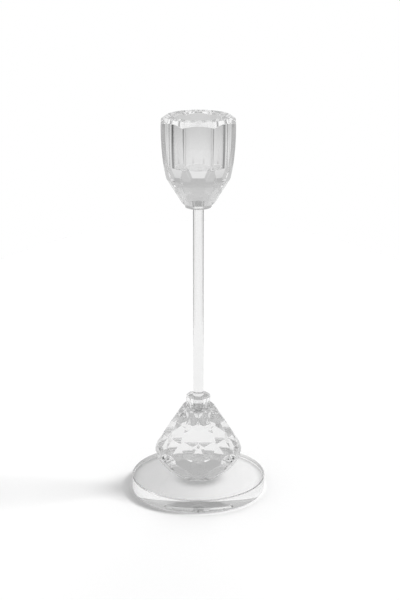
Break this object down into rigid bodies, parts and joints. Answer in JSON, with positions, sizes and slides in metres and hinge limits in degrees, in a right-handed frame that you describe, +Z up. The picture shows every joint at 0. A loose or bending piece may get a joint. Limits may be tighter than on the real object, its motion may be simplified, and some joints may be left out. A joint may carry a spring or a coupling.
{
  "type": "glass candlestick",
  "caption": "Cut-glass candlestick: octagonal candle cup on a thin glass rod above a faceted glass body and a round glass foot.",
  "frame": {"origin": "centre of the foot's flat underside", "axes": "+Z up along the rod; one of the cup's eight tall faces looks along -Y"},
  "size_m": [0.07, 0.07, 0.1987],
  "materials": {
    "base_glass": "clear crystal, polished",
    "body_glass": "clear cut crystal, polished facets",
    "collar_glass": "clear crystal, polished",
    "rod_glass": "clear drawn glass rod",
    "cup_glass": "clear cut crystal, polished facets",
    "clear_adhesive": "cured clear adhesive"
  },
  "bodies": {
    "root": {"base_disc": "base_glass", "base_bond": "clear_adhesive", "faceted_body": "body_glass", "body_collar_bond": "clear_adhesive", "lower_collar": "collar_glass", "body_rod_bond": "clear_adhesive", "stem_rod": "rod_glass", "upper_collar": "collar_glass", "cup_collar_bond": "clear_adhesive", "cup_rod_bond": "clear_adhesive", "candle_cup": "cup_glass"}
  },
  "joints": []
}
